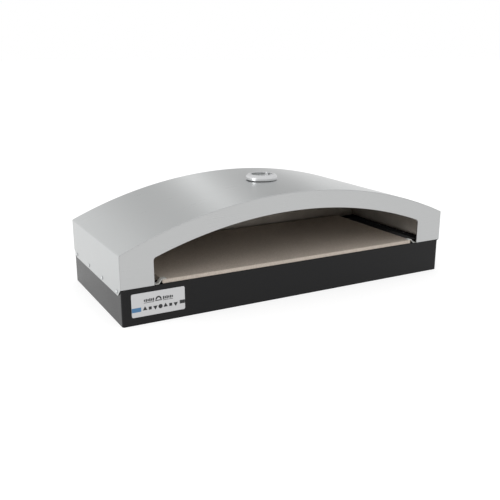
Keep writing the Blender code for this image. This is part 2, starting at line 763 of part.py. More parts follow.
def make_gauge_case():
    """Gasket, inner cup and domed chrome bezel."""
    gasket = [
        (GASKET_RADIUS, GAP + GASKET_THICKNESS),
        (GASKET_RADIUS, GAP),
        (bushing_radius + GAP, GAP),
        (bushing_radius + GAP, GAP + GASKET_THICKNESS),
    ]
    turned("gauge_gasket", gasket, 24, rubber, gauge, ring=True)
    cup_top = dial_top - DIAL_THICKNESS - GAP
    cup = [
        (case_radius, cup_top),
        (case_radius, gauge_floor),
        (bushing_radius + GAP, gauge_floor),
        (bushing_radius + GAP, gauge_floor + GAUGE_WALL),
        (case_radius - GAUGE_WALL, gauge_floor + GAUGE_WALL),
        (case_radius - GAUGE_WALL, cup_top),
    ]
    turned("gauge_cup", cup, 32, bright_steel, gauge, ring=True)
    inside = case_radius + GAP
    bulge = GAUGE_SKIRT_RADIUS - GAUGE_RIM_RADIUS
    side_top = gauge_floor + GAUGE_SIDE
    steps = 6
    shoulder = [
        (
            GAUGE_RIM_RADIUS + bulge * sin(pi / 2 * i / steps),
            side_top + (GAUGE_HEIGHT - side_top) * cos(pi / 2 * i / steps),
        )
        for i in range(steps + 1)
    ]
    bezel = [
        (GAUGE_GLASS_RADIUS, GAUGE_HEIGHT),
        *shoulder,
        (GAUGE_SKIRT_RADIUS, gauge_floor),
        (GAUGE_SKIRT_RADIUS - GAUGE_WALL, gauge_floor),
        (inside + GAUGE_WALL, GAUGE_HEIGHT / 2),
        (inside, GAUGE_HEIGHT / 2),
        (inside, lens_top + GAP),
        (GAUGE_GLASS_RADIUS, lens_top + GAP),
    ]
    turned("gauge_bezel", bezel, 40, chrome, gauge, ring=True)


def make_gauge_face():
    """Glass, and a dial with a clearance hole for the spindle."""
    lens = cylinder("gauge_lens", case_radius, LENS_THICKNESS, 32, glass, gauge)
    lens.location = (0.0, 0.0, lens_top - LENS_THICKNESS / 2)
    dial = [
        (case_radius, dial_top),
        (case_radius, dial_top - DIAL_THICKNESS),
        (DIAL_HOLE, dial_top - DIAL_THICKNESS),
        (DIAL_HOLE, dial_top),
    ]
    turned("gauge_dial", dial, 32, dial_paint, gauge, ring=True)


def make_gauge_pointer():
    """Needle and its spindle, which turn together on the gauge's axis."""
    hub_angle = 0.6
    turns = 8
    outline = [(POINTER_LENGTH, 0.0)]
    for i in range(turns + 1):
        a = hub_angle + (pi - 2 * hub_angle) * i / turns
        outline.append((POINTER_HUB * cos(a), POINTER_HUB * sin(a)))
    outline += [(-POINTER_TAIL, POINTER_HUB * 0.45), (-POINTER_TAIL, -POINTER_HUB * 0.45)]
    for i in range(turns + 1):
        a = pi + hub_angle + (pi - 2 * hub_angle) * i / turns
        outline.append((POINTER_HUB * cos(a), POINTER_HUB * sin(a)))
    pointer = flat_plate("gauge_pointer", outline, POINTER_THICKNESS, pointer_paint, gauge)
    pointer.location = (0.0, 0.0, dial_top + POINTER_THICKNESS * 2.5)
    pointer.rotation_euler = (0.0, 0.0, POINTER_REST_ANGLE * pi / 180)
    top = dial_top + POINTER_THICKNESS * 2 - GAP
    bottom = -STEM_REACH + STEM_WALL * 2
    spindle = cylinder("gauge_spindle", SPINDLE_RADIUS, top - bottom, 8, bright_steel, gauge)
    spindle.location = (0.0, 0.0, (top + bottom) / 2)


def make_gauge_stem():
    """Closed tube into the cavity, with the bimetal coil that turns the spindle."""
    inner = STEM_RADIUS - STEM_WALL
    stem = [
        (STEM_RADIUS, bushing_top),
        (STEM_RADIUS, -STEM_REACH),
        (0.0, -STEM_REACH),
        (0.0, -STEM_REACH + STEM_WALL),
        (inner, -STEM_REACH + STEM_WALL),
        (inner, bushing_top),
        (STEM_RADIUS, bushing_top),
    ]
    turned("gauge_stem", stem, 16, bright_steel, gauge)
    curve = bpy.data.curves.new("gauge_coil", "CURVE")
    curve.dimensions = "3D"
    curve.bevel_depth = COIL_WIRE
    curve.bevel_resolution = 1
    curve.use_fill_caps = True
    spline = curve.splines.new("POLY")
    per_turn = 10
    count = COIL_TURNS * per_turn + 1
    spline.points.add(count - 1)
    start = -STEM_REACH + STEM_WALL + COIL_WIRE + GAP
    for i, point in enumerate(spline.points):
        a = 2 * pi * i / per_turn
        z = start + COIL_PITCH * i / per_turn
        point.co = (coil_radius * cos(a), coil_radius * sin(a), z, 1.0)
    curve_to_mesh("gauge_coil", curve, brass, gauge)


def make_gauge_fixings():
    """Flanged bushing through the roof, washer and wing nut below it."""
    inner = STEM_RADIUS + GAP
    bushing = [
        (BUSHING_FLANGE, bushing_top),
        (BUSHING_FLANGE, bushing_top - BUSHING_FLANGE_HEIGHT),
        (bushing_radius, bushing_top - BUSHING_FLANGE_HEIGHT),
        (bushing_radius, -BUSHING_REACH),
        (inner, -BUSHING_REACH),
        (inner, bushing_top),
    ]
    turned("gauge_bushing", bushing, 20, brass, gauge, ring=True)
    washer_top = -HOOD_SHEET - GAP * 2
    bore = bushing_radius + GAP
    washer = [
        (WASHER_RADIUS, washer_top),
        (WASHER_RADIUS, washer_top - WASHER_THICKNESS),
        (bore, washer_top - WASHER_THICKNESS),
        (bore, washer_top),
    ]
    turned("gauge_washer", washer, 20, bright_steel, gauge, ring=True)
    nut_top = washer_top - WASHER_THICKNESS - GAP
    nut = [
        (NUT_RADIUS, nut_top),
        (NUT_RADIUS, nut_top - NUT_HEIGHT),
        (bore, nut_top - NUT_HEIGHT),
        (bore, nut_top),
    ]
    wing_nut = turned("gauge_wing_nut", nut, 20, bright_steel, gauge, ring=True)
    overlap = (NUT_RADIUS - bore) / 2
    for number, side in enumerate((-1, 1)):
        length = NUT_WING_SPAN - NUT_RADIUS + overlap
        size = (length, NUT_WING_THICKNESS, NUT_WING_HEIGHT)
        wing = box("wing_" + str(number), size, None, gauge)
        wing.location = (
            side * (NUT_RADIUS - overlap + length / 2), 0.0, nut_top - NUT_HEIGHT / 2 - NUT_WING_HEIGHT / 2
        )
        oven_parts.objects.unlink(wing)
        cutters.objects.link(wing)
        make_cutter(wing)
        combine(wing_nut, wing, "UNION")


make_gauge_case()
make_gauge_face()
make_gauge_pointer()
make_gauge_stem()
make_gauge_fixings()

for piece in oven_parts.objects:
    if piece.type == "MESH":
        piece.data.shade_smooth()
        piece.data.set_sharp_from_angle(angle=0.6)
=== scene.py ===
"""Countertop pizza oven: a stainless arched hood on a black open-bottomed base, with a cordierite
stone inside and a dial thermometer on the roof. Metres; +Z up; the mouth faces -Y."""

import bmesh
import bpy
import numpy as np
from mathutils import Matrix, Vector


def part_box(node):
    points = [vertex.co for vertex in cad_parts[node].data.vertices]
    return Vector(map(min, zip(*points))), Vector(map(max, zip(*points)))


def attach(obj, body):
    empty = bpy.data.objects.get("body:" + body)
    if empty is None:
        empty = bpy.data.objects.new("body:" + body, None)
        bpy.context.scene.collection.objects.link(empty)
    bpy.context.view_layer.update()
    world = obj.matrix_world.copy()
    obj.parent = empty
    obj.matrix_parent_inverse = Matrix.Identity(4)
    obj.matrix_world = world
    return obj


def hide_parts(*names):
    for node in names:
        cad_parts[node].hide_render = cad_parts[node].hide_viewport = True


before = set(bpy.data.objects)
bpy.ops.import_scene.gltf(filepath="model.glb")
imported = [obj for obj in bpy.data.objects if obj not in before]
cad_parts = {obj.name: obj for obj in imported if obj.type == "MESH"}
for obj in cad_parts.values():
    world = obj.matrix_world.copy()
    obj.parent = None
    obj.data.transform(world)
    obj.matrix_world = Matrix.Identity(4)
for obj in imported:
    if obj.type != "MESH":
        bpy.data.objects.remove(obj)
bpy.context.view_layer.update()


# Camera: a normal lens to the left of the oven and a little above it, looking down at the mouth.
camera = bpy.data.objects.new("camera", bpy.data.cameras.new("camera"))
bpy.context.scene.collection.objects.link(camera)
bpy.context.scene.camera = camera
camera.data.lens = 49.27
camera.data.sensor_width = 36
camera.location = (-0.8762, -1.5537, 0.5780)
camera.rotation_euler = (np.radians(90 - 15.918), 0, np.radians(-28.448))


# Floor and light: a white table, a bright even studio all round, and one tall soft box on the left
# that gives the rim of the thermometer and the screw heads their glints.
def linear(hex_colour):
    """An sRGB hex colour as linear red, green, blue and alpha."""
    parts = [int(hex_colour[i:i + 2], 16) / 255 for i in (1, 3, 5)]
    return [c / 12.92 if c <= 0.04045 else ((c + 0.055) / 1.055) ** 2.4 for c in parts] + [1.0]


def add(tree, kind, inputs=(), **settings):
    """Add a node with its settings; inputs pairs a socket's name or number with a value or a link."""
    made = tree.nodes.new("ShaderNode" + kind)
    for key, value in settings.items():
        setattr(made, key, value)
    for key, value in dict(inputs).items():
        if isinstance(value, bpy.types.NodeSocket):
            tree.links.new(value, made.inputs[key])
        else:
            made.inputs[key].default_value = value
    return made


def finish(name, colour, roughness, metallic=0.0, **sockets):
    """A material whose Principled shader has these constant values; returns it, its tree and shader."""
    material = bpy.data.materials.new(name)
    material.use_nodes = True
    shader = material.node_tree.nodes["Principled BSDF"]
    shader.inputs["Base Color"].default_value = linear(colour)
    shader.inputs["Roughness"].default_value = roughness
    shader.inputs["Metallic"].default_value = metallic
    for key, value in sockets.items():
        shader.inputs[key.replace("_", " ")].default_value = value
    return material, material.node_tree, shader


TABLE_HALF = 60.0
table_mesh = bpy.data.meshes.new("table")
table_mesh.from_pydata(
    [(-TABLE_HALF, -TABLE_HALF, 0), (TABLE_HALF, -TABLE_HALF, 0),
     (TABLE_HALF, TABLE_HALF, 0), (-TABLE_HALF, TABLE_HALF, 0)], [], [(0, 1, 2, 3)])
table = bpy.data.objects.new("table", table_mesh)
bpy.context.scene.collection.objects.link(table)
table_paint, _, table_shader = finish("table_white_laminate", "#A8A8A8", 0.9)
table_shader.inputs["Specular IOR Level"].default_value = 0.0
table_shader.inputs["Emission Color"].default_value = (1, 1, 1, 1)
table_shader.inputs["Emission Strength"].default_value = 0.70
table_mesh.materials.append(table_paint)

STUDIO_LEVEL = 1.0
REAR_WALL = [  # azimuth from +Y towards +X in degrees, level of the light wall behind the oven
    (-180, 1.00), (-4, 1.08), (2, 1.00), (6, 0.77), (10, 0.67), (15, 0.66), (18.5, 0.88),
    (20.5, 1.42), (22.5, 0.94), (25, 0.68), (29, 0.56), (33, 0.56), (37, 0.90), (180, 1.00),
]
LOW_EDGE, HIGH_EDGE = (4, 8), (24, 42)
world = bpy.data.worlds.new("studio")
bpy.context.scene.world = world
world.use_nodes = True
sky = world.node_tree
towards = add(sky, "SeparateXYZ", {0: add(sky, "TexCoord").outputs["Generated"]}).outputs
azimuth = add(sky, "Math", {0: towards[0], 1: towards[1]}, operation="ARCTAN2")
round_the_horizon = add(sky, "MapRange", {
    "Value": azimuth.outputs[0], "From Min": float(-np.pi), "From Max": float(np.pi)})
panels = add(sky, "ValToRGB", {"Fac": round_the_horizon.outputs[0]})
panels.color_ramp.interpolation = "EASE"
stops = panels.color_ramp.elements
for _ in REAR_WALL[2:]:
    stops.new(1.0)
for stop, (degrees, level) in zip(stops, REAR_WALL):
    stop.position = (degrees + 180) / 360
    stop.color = (level / 2, level / 2, level / 2, 1)
above_floor = add(sky, "MapRange", {
    "Value": towards[2], "From Min": float(np.sin(np.radians(LOW_EDGE[0]))),
    "From Max": float(np.sin(np.radians(LOW_EDGE[1])))}, interpolation_type="SMOOTHSTEP")
below_top = add(sky, "MapRange", {
    "Value": towards[2], "From Min": float(np.sin(np.radians(HIGH_EDGE[1]))),
    "From Max": float(np.sin(np.radians(HIGH_EDGE[0])))}, interpolation_type="SMOOTHSTEP")
on_wall = add(sky, "Math", {0: above_floor.outputs[0], 1: below_top.outputs[0]}, operation="MULTIPLY")
wall_level = add(sky, "Math", {0: panels.outputs["Color"], 1: 2.0}, operation="MULTIPLY")
studio_mix = add(sky, "Mix", {0: on_wall.outputs[0], 2: STUDIO_LEVEL, 3: wall_level.outputs[0]},
                 data_type="FLOAT")
sky.links.new(studio_mix.outputs[0], sky.nodes["Background"].inputs["Strength"])
sky.nodes["Background"].inputs["Color"].default_value = (1, 1, 1, 1)

KEY_DISTANCE = 3.0
KEY_LEVEL = 4.5
KEY_WIDTH, KEY_HEIGHT = 0.70, 2.0
key = bpy.data.objects.new("key_soft_box", bpy.data.lights.new("key_soft_box", "AREA"))
bpy.context.scene.collection.objects.link(key)
key.data.shape = "RECTANGLE"
key.data.size = KEY_WIDTH
key.data.size_y = KEY_HEIGHT
key.data.energy = KEY_LEVEL * np.pi * KEY_WIDTH * KEY_HEIGHT
key.location = (-KEY_DISTANCE, -0.1, KEY_HEIGHT / 2 + 0.05)
key.rotation_euler = (np.pi / 2, 0, -np.pi / 2)
bpy.context.scene.view_settings.view_transform = "Standard"


# Hood shell: roof and both side walls, one sheet of 1.2 mm stainless, bent at the shoulders over a
# 3.5 mm radius. Its skirts overlap the base, with the corners cut back, and are screwed to it.
hood_low, hood_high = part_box("hood_shell")
SHOULDER_HEIGHT = 0.1655
HOOD_SHEET = 0.0012
HOOD_BEND = 0.0035
SKIRT_CHAMFER = 0.0200
SHEET_EDGE = 0.0002
TOUCH = 0.0003
front, back = hood_low.y, hood_high.y
side = hood_high.x
rise = hood_high.z - SHOULDER_HEIGHT
roof_radius = (side ** 2 + rise ** 2) / (2 * rise)
arc_centre_z = hood_high.z - roof_radius
base_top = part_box("base_shell")[1].z


def arch(half_width, radius, corner, foot_z):
    """The arch seen from the front, as rows of x and z from the left foot to the right one.

    A vertical wall, a shoulder arc that touches both the wall and the roof arc, then the roof arc,
    concentric with the hood's crown; the right half mirrors the left.
    """
    reach = np.sqrt((radius - corner) ** 2 - (half_width - corner) ** 2)
    lean = np.arctan2(half_width - corner, reach)
    wall_top = arc_centre_z + reach
    wall = np.array([foot_z, foot_z + 0.0012, foot_z + 0.004, wall_top - 0.004, wall_top - 0.001])
    turn = np.linspace(np.pi / 2, lean, 9)
    over = np.concatenate([[lean * 0.998, lean * 0.99], np.linspace(lean * 0.98, 0, 90)])
    x = np.concatenate([
        np.full(wall.size, -half_width), -(half_width - corner) - corner * np.sin(turn),
        -radius * np.sin(over),
    ])
    z = np.concatenate([wall, wall_top + corner * np.cos(turn), arc_centre_z + radius * np.cos(over)])
    return np.column_stack([np.concatenate([x, -x[-2::-1]]), np.concatenate([z, z[-2::-1]])])


def rounded_section(corners, radii, steps=4, guard=0.0008):
    """A closed outline with each corner rounded by its radius, and a guard point beside each arc."""
    corners = np.asarray(corners, float)
    radii = np.broadcast_to(radii, len(corners))
    outline = []
    for i, (corner, radius) in enumerate(zip(corners, radii)):
        before = corners[i - 1] - corner
        after = corners[(i + 1) % len(corners)] - corner
        u, v = before / np.linalg.norm(before), after / np.linalg.norm(after)
        half = np.arccos(np.clip(u @ v, -1, 1)) / 2
        centre = corner + (u + v) / np.linalg.norm(u + v) * radius / np.sin(half)
        start, end = u * radius / np.tan(half), v * radius / np.tan(half)
        t = np.linspace(0, 1, steps + 1)[:, None]
        a, b = corner + start - centre, corner + end - centre
        span = np.arccos(np.clip(a @ b / radius ** 2, -1, 1))
        arc = centre + (np.sin((1 - t) * span) * a + np.sin(t * span) * b) / np.sin(span)
        outline += [corner + start + u * guard, *arc, corner + end + v * guard]
    return np.array(outline)


def solid(name, grid, body="oven", loop=True, caps=True):
    """A closed piece from a grid of points: rows run round the section, columns along the path.

    Quads join neighbouring rows; the path's two ends are capped by one face each.
    """
    rows, columns = grid.shape[:2]
    index = np.arange(rows * columns).reshape(rows, columns)
    upper, lower = (index, np.roll(index, -1, 0)) if loop else (index[:-1], index[1:])
    quads = np.stack([upper[:, :-1], upper[:, 1:], lower[:, 1:], lower[:, :-1]], -1).reshape(-1, 4)
    faces = quads.tolist()
    if caps:
        faces += [index[:, 0].tolist(), index[::-1, -1].tolist()]
    mesh = bpy.data.meshes.new(name)
    mesh.from_pydata(grid.reshape(-1, 3).tolist(), [], faces)
    return finish_mesh(name, mesh, body)


def finish_mesh(name, mesh, body="oven", angle=35):
    """Merge doubled points, turn the faces outwards, shade smooth and put the piece on its body."""
    shape = bmesh.new()
    shape.from_mesh(mesh)
    bmesh.ops.remove_doubles(shape, verts=shape.verts, dist=0.000002)
    bmesh.ops.dissolve_degenerate(shape, edges=shape.edges, dist=0.000001)
    bmesh.ops.recalc_face_normals(shape, faces=shape.faces)
    shape.to_mesh(mesh)
    shape.free()
    mesh.shade_smooth()
    mesh.set_sharp_from_angle(angle=np.radians(angle))
    piece = bpy.data.objects.new(name, mesh)
    bpy.context.scene.collection.objects.link(piece)
    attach(piece, body)
    return piece


def skirt_foot(y):
    """Height of the skirt's lower edge: it rises in a straight line at each end of the hood."""
    from_end = np.minimum(y - front, back - y)
    return np.interp(from_end, [0, SKIRT_CHAMFER], [base_top + TOUCH, hood_low.z])


edge_rows = rounded_section(
    [(0, front), (0, back), (HOOD_SHEET, back), (HOOD_SHEET, front)], SHEET_EDGE)
quarter = len(edge_rows) // 4
cuts = np.array([front + SKIRT_CHAMFER, 0.0, back - SKIRT_CHAMFER])
hood_section = np.concatenate([
    edge_rows[:quarter], np.column_stack([np.zeros(3), cuts]), edge_rows[quarter:3 * quarter],
    np.column_stack([np.full(3, HOOD_SHEET), cuts[::-1]]), edge_rows[3 * quarter:],
])
hood_grid = np.empty((len(hood_section), len(arch(side, roof_radius, HOOD_BEND, base_top)), 3))
for row, (inset, y) in enumerate(hood_section):
    path = arch(side - inset, roof_radius - inset, HOOD_BEND - inset, skirt_foot(y))
    hood_grid[row] = np.column_stack([path[:, 0], np.full(len(path), y), path[:, 1]])
hood = solid("hood_shell_skin", hood_grid)
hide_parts("hood_shell")

# The grain runs round the hood from skirt to skirt. Each point's place along it is the length of the
# arch up to that point, found by its angle about a centre below the skirts.
outline = hood_grid[0][:, [0, 2]]
arch_length = np.concatenate([[0], np.cumsum(np.linalg.norm(np.diff(outline, axis=0), axis=1))])
GRAIN_CENTRE_Z = hood_low.z - 0.02
points = np.array([tuple(vertex.co) for vertex in hood.data.vertices])
outline_angle = np.arctan2(outline[:, 0], outline[:, 1] - GRAIN_CENTRE_Z)
point_angle = np.arctan2(points[:, 0], points[:, 2] - GRAIN_CENTRE_Z)
grain_place = np.column_stack([
    np.interp(point_angle, outline_angle, arch_length), points[:, 1], np.zeros(len(points))])
hood.data.attributes.new("grain", "FLOAT_VECTOR", "POINT").data.foreach_set("vector", grain_place.ravel())


def brushed_stainless(name, colour, grain_from):
    """Brushed 304 stainless: long fine scratches that spread its reflection across the grain.

    The real scratches are about 0.1 mm apart; these are 1.4 mm apart and 180 mm long, so that
    they just show, with slow cloudy changes of polish 90 mm across.
    """
    material, tree, shader = finish(name, colour, 0.30, 1.0)
    coordinates = add(tree, "TexCoord").outputs["Object"]
    if grain_from:
        coordinates = add(tree, "Attribute", attribute_name=grain_from).outputs["Vector"]
    streaks = add(tree, "Mapping", {"Vector": coordinates, "Scale": (5.5, 700.0, 700.0)})
    scratches = add(tree, "TexNoise", {
        "Vector": streaks.outputs[0], "Scale": 1.0, "Detail": 4.0, "Roughness": 0.65})
    clouds = add(tree, "TexNoise", {"Vector": coordinates, "Scale": 11.0, "Detail": 2.0})
    polish = add(tree, "Math", {0: clouds.outputs["Fac"], 1: 0.05, 2: 0.23}, operation="MULTIPLY_ADD")
    grain = add(tree, "Math", {0: scratches.outputs["Fac"], 1: 0.07, 2: polish.outputs[0]},
                operation="MULTIPLY_ADD")
    tree.links.new(grain.outputs[0], shader.inputs["Roughness"])
    bright = add(tree, "MapRange", {
        "Value": scratches.outputs["Fac"], "From Min": 0.3, "From Max": 0.7, "To Min": 0.98, "To Max": 1.0})
    tint = add(tree, "Mix", {"Factor": 1.0, "A": linear(colour), "B": bright.outputs[0]},
               data_type="RGBA", blend_type="MULTIPLY")
    tree.links.new(tint.outputs["Result"], shader.inputs["Base Color"])
    bump = add(tree, "Bump", {"Height": scratches.outputs["Fac"], "Strength": 0.012, "Distance": 0.0004})
    tree.links.new(bump.outputs[0], shader.inputs["Normal"])
    return material


hood.data.materials.append(brushed_stainless("brushed_stainless", "#BBBDBD", "grain"))


# Front fascia: the hood's arched front, 1.2 mm stainless with the mouth cut out. Its outer edge is
# turned back under the roof and spot welded there; the mouth's edge is turned back to stiffen it.
FASCIA_BAND = 0.0454
FASCIA_POST = 0.0795
MOUTH_CORNER = 0.0080
FASCIA_FLANGE = 0.0120
MOUTH_FLANGE = 0.0035
PRESS_BEND = 0.0012
SEAM = 0.0001
foot_z = base_top + TOUCH
flange_back = front + FASCIA_FLANGE + HOOD_SHEET / 2
mouth_back = front + MOUTH_FLANGE + HOOD_SHEET / 2
outer_edge = HOOD_SHEET + SEAM
fascia_section = rounded_section(
    [(outer_edge, flange_back), (outer_edge, front), (FASCIA_BAND, front), (FASCIA_BAND, mouth_back),
     (FASCIA_BAND - HOOD_SHEET, mouth_back), (FASCIA_BAND - HOOD_SHEET, front + HOOD_SHEET),
     (outer_edge + HOOD_SHEET, front + HOOD_SHEET), (outer_edge + HOOD_SHEET, flange_back)],
    [SHEET_EDGE, SHEET_EDGE, PRESS_BEND, SHEET_EDGE, SHEET_EDGE, 0.0005, 0.0005, SHEET_EDGE])
fascia_rows = []
for inset, y in fascia_section:
    if inset < FASCIA_BAND / 2:
        path = arch(side - inset, roof_radius - inset, HOOD_BEND + PRESS_BEND - inset, foot_z)
    else:
        grow = FASCIA_BAND - inset
        path = arch(side - FASCIA_POST + grow, roof_radius - FASCIA_BAND + grow,
                    MOUTH_CORNER + grow, foot_z)
    fascia_rows.append(np.column_stack([path[:, 0], np.full(len(path), y), path[:, 1]]))
fascia = solid("front_fascia_skin", np.array(fascia_rows))
fascia.data.materials.append(brushed_stainless("brushed_stainless_flat", "#B6B7B7", None))
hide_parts("front_fascia")


# Rear panel: closes the back of the hood in the same sheet, with its edge turned in under the roof.
def closed_panel(name, section, outline, anchor):
    """A flat-backed pan: rows follow the arch at each inset, and the last rows shrink to one point.

    A negative inset in the section stands for the panel's middle, where the whole row meets.
    """
    rows = []
    for inset, y in section:
        path = outline(max(inset, 0.0))
        if inset < 0:
            path = np.tile(anchor, (len(path), 1))
        rows.append(np.column_stack([path[:, 0], np.full(len(path), y), path[:, 1]]))
    return solid(name, np.array(rows), loop=False)


def pan_section(edge, depth_y, face_y, sheet, bend):
    """Section of a pan from the middle of its outer face, round its turned edge, to its inner face."""
    away = np.sign(face_y - depth_y)
    inner_y = face_y - away * sheet
    turned = rounded_section(
        [(edge + 0.03, face_y), (edge, face_y), (edge, depth_y), (edge + sheet, depth_y),
         (edge + sheet, inner_y), (edge + 0.03, inner_y)],
        [SHEET_EDGE, bend, SHEET_EDGE, SHEET_EDGE, 0.0005, SHEET_EDGE])
    turned = turned[7:-7]
    return np.concatenate([[(-1, face_y)], turned, [(-1, inner_y)]])


rear = closed_panel(
    "rear_panel_skin",
    pan_section(outer_edge, back - FASCIA_FLANGE - HOOD_SHEET / 2, back, HOOD_SHEET, PRESS_BEND),
    lambda inset: arch(side - inset, roof_radius - inset,
                       HOOD_BEND + PRESS_BEND - min(inset, PRESS_BEND), foot_z),
    (0.0, foot_z))
rear.data.materials.append(fascia.data.materials[0])
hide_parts("rear_panel")


# Cavity liner and back wall: the inner sheets that hold the heat, 1 mm stainless that the fire
# has tinted and dulled. The liner's feet stand on the side ledges; the back wall is welded inside it.
liner_low, liner_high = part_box("cavity_liner")
back_wall_low, back_wall_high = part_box("cavity_back")
LINER_SHEET = 0.0010
LINER_FOOT = 0.0170
LINER_BEND = 0.0200
liner_side = liner_high.x - LINER_FOOT
liner_radius = liner_high.z - LINER_SHEET / 2 - arc_centre_z
liner_foot_z = liner_low.z + LINER_SHEET / 2
walls = arch(liner_side, liner_radius, LINER_BEND, liner_foot_z)
foot_end = liner_side + LINER_FOOT
walls = np.vstack([(-foot_end, liner_foot_z), walls, (foot_end, liner_foot_z)])
liner_ys = np.array([liner_low.y, liner_low.y + 0.001, liner_high.y])
liner_grid = np.stack([
    np.column_stack([walls[:, 0], np.full(len(walls), y), walls[:, 1]]) for y in liner_ys])
liner = solid("cavity_liner_skin", liner_grid, loop=False, caps=False)
thicken = liner.modifiers.new("sheet", "SOLIDIFY")
thicken.thickness = LINER_SHEET
thicken.offset = 0
thicken.use_even_offset = True
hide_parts("cavity_liner")

wall_edge = LINER_SHEET / 2 + TOUCH
back_wall = closed_panel(
    "cavity_back_skin",
    pan_section(wall_edge, back_wall_high.y, back_wall_low.y, LINER_SHEET, 0.0015),
    lambda inset: arch(liner_side - inset, liner_radius - inset, LINER_BEND, base_top + TOUCH),
    (0.0, base_top + TOUCH))
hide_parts("cavity_back")

liner_steel, liner_tree, liner_shader = finish("heat_tinted_stainless", "#B6B2AC", 0.40, 0.75)
liner_place = add(liner_tree, "TexCoord").outputs["Object"]
heat = add(liner_tree, "TexNoise", {"Vector": liner_place, "Scale": 14.0, "Detail": 4.0, "Roughness": 0.6})
heat_tint = add(liner_tree, "ValToRGB", {"Fac": heat.outputs["Fac"]})
heat_tint.color_ramp.elements[0].position = 0.35
heat_tint.color_ramp.elements[0].color = linear("#ADA69D")
heat_tint.color_ramp.elements[1].position = 0.70
heat_tint.color_ramp.elements[1].color = linear("#BFB8AF")
liner_tree.links.new(heat_tint.outputs["Color"], liner_shader.inputs["Base Color"])
mill = add(liner_tree, "MapRange", {"Value": heat.outputs["Fac"], "To Min": 0.32, "To Max": 0.50})
liner_tree.links.new(mill.outputs[0], liner_shader.inputs["Roughness"])
liner.data.materials.append(liner_steel)
back_wall.data.materials.append(liner_steel)


def repaint(names, material):
    """Give CAD nodes whose shape is right their real finish."""
    for name in names:
        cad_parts[name].data.materials.clear()
        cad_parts[name].data.materials.append(material)


repaint(["ceiling_stay_left", "ceiling_stay_right", "heat_deflector"], liner_steel)


# Base: front and both sides in one wrapped sheet of 1.2 mm steel with 6 mm corner bends, powder
# coated black. The back panel, sills, ledges, rails and hangers are separate strips in the same coat.
base_low, base_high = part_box("base_shell")
BASE_SHEET = 0.0012
BASE_BEND = 0.0060


def wrap(inset):
    """Plan of the base's walls from the left rear end, round both front corners, to the right one."""
    x, y = base_high.x - inset, base_low.y + inset
    radius = BASE_BEND - inset
    turn = np.linspace(0, np.pi / 2, 10)
    left = np.vstack([
        [(-x, base_high.y), (-x, base_high.y - 0.001), (-x, y + radius + 0.05), (-x, y + radius + 0.001)],
        np.column_stack([-x + radius - radius * np.cos(turn), y + radius - radius * np.sin(turn)]),
        [(-x + radius + 0.001, y), (-x + radius + 0.03, y), (0, y)],
    ])
    return np.vstack([left, left[-2::-1] * (-1, 1)])


wall_section = rounded_section(
    [(0, base_low.z), (0, base_high.z), (BASE_SHEET, base_high.z), (BASE_SHEET, base_low.z)], SHEET_EDGE)
base_rows = [np.column_stack([wrap(inset), np.full(len(wrap(0)), z)]) for inset, z in wall_section]
base = solid("base_shell_skin", np.array(base_rows))
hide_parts("base_shell")

# Powder coat: a polyester film with a soft sheen and a faint orange peel of about 2 mm.
black_coat, coat_tree, coat_shader = finish("black_powder_coat", "#111112", 0.36)
coat_shader.inputs["Specular IOR Level"].default_value = 0.20
coat_place = add(coat_tree, "TexCoord").outputs["Object"]
peel = add(coat_tree, "TexNoise", {"Vector": coat_place, "Scale": 480.0, "Detail": 2.0})
coat_clouds = add(coat_tree, "TexNoise", {"Vector": coat_place, "Scale": 9.0, "Detail": 3.0})
sheen = add(coat_tree, "MapRange", {"Value": coat_clouds.outputs["Fac"], "To Min": 0.20, "To Max": 0.30})
coat_tree.links.new(sheen.outputs[0], coat_shader.inputs["Roughness"])
coat_bump = add(coat_tree, "Bump", {"Height": peel.outputs["Fac"], "Strength": 0.12, "Distance": 0.0004})
coat_tree.links.new(coat_bump.outputs[0], coat_shader.inputs["Normal"])
base.data.materials.append(black_coat)
repaint(
    ["base_back_panel", "foot_rail_left", "foot_rail_right", "foot_rail_front", "foot_rail_rear"],
    black_coat)

# The strips next to the fire have a matt high-temperature black instead, which looks like soot.
stove_black, stove_tree, stove_shader = finish("stove_black", "#0C0C0C", 0.75)
stove_shader.inputs["Specular IOR Level"].default_value = 0.08
stove_place = add(stove_tree, "TexCoord").outputs["Object"]
soot = add(stove_tree, "TexNoise", {"Vector": stove_place, "Scale": 160.0, "Detail": 3.0})
soot_dull = add(stove_tree, "MapRange", {"Value": soot.outputs["Fac"], "To Min": 0.65, "To Max": 0.85})
stove_tree.links.new(soot_dull.outputs[0], stove_shader.inputs["Roughness"])
repaint(
    ["front_sill", "rear_sill", "side_ledge_left", "side_ledge_right",
     "deflector_hanger_left", "deflector_hanger_right"], stove_black)


# Stone: a pressed and fired cordierite slab, 9.6 mm thick, with worn edges. It lies loose on the
# front and rear sills and draws out of the mouth.
stone_low, stone_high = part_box("pizza_stone")
STONE_EDGE = 0.0016
STONE_CORNER = 0.0030


def rounded_rectangle(half_x, half_y, radius, steps=6):
    """Outline of a rectangle with round corners, as x and y, anticlockwise from the right side."""
    turn = np.linspace(0, np.pi / 2, steps + 1)
    angles = (turn[None, :] + np.arange(4)[:, None] * np.pi / 2).ravel()
    corner_x = np.repeat([1, -1, -1, 1], steps + 1) * (half_x - radius)
    corner_y = np.repeat([1, 1, -1, -1], steps + 1) * (half_y - radius)
    return np.column_stack([corner_x + radius * np.cos(angles), corner_y + radius * np.sin(angles)])


